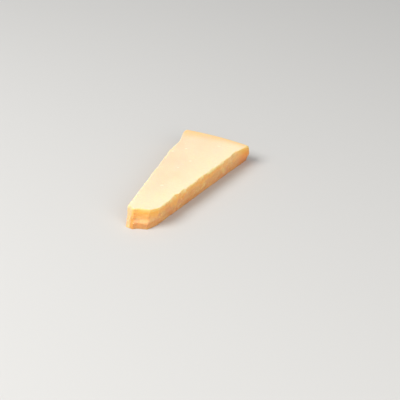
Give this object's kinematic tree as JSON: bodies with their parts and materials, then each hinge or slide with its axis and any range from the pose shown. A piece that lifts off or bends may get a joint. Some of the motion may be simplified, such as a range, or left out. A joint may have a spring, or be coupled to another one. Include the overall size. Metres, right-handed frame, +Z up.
{
  "type": "parmesan cheese wedge",
  "caption": "Narrow wedge of hard aged cheese: a flat cut top, rough broken sides and tip, and a curved rind at the wide end.",
  "frame": {"origin": "middle of the wedge's box, on the flat foot it rests on", "axes": "+Y from the broken tip to the rind, +X to the right seen from the tip, +Z up"},
  "size_m": [0.0748, 0.173, 0.0211],
  "materials": {
    "cheese": "matte, slightly waxy"
  },
  "bodies": {
    "root": {"cheese_wedge": "cheese"}
  },
  "joints": []
}
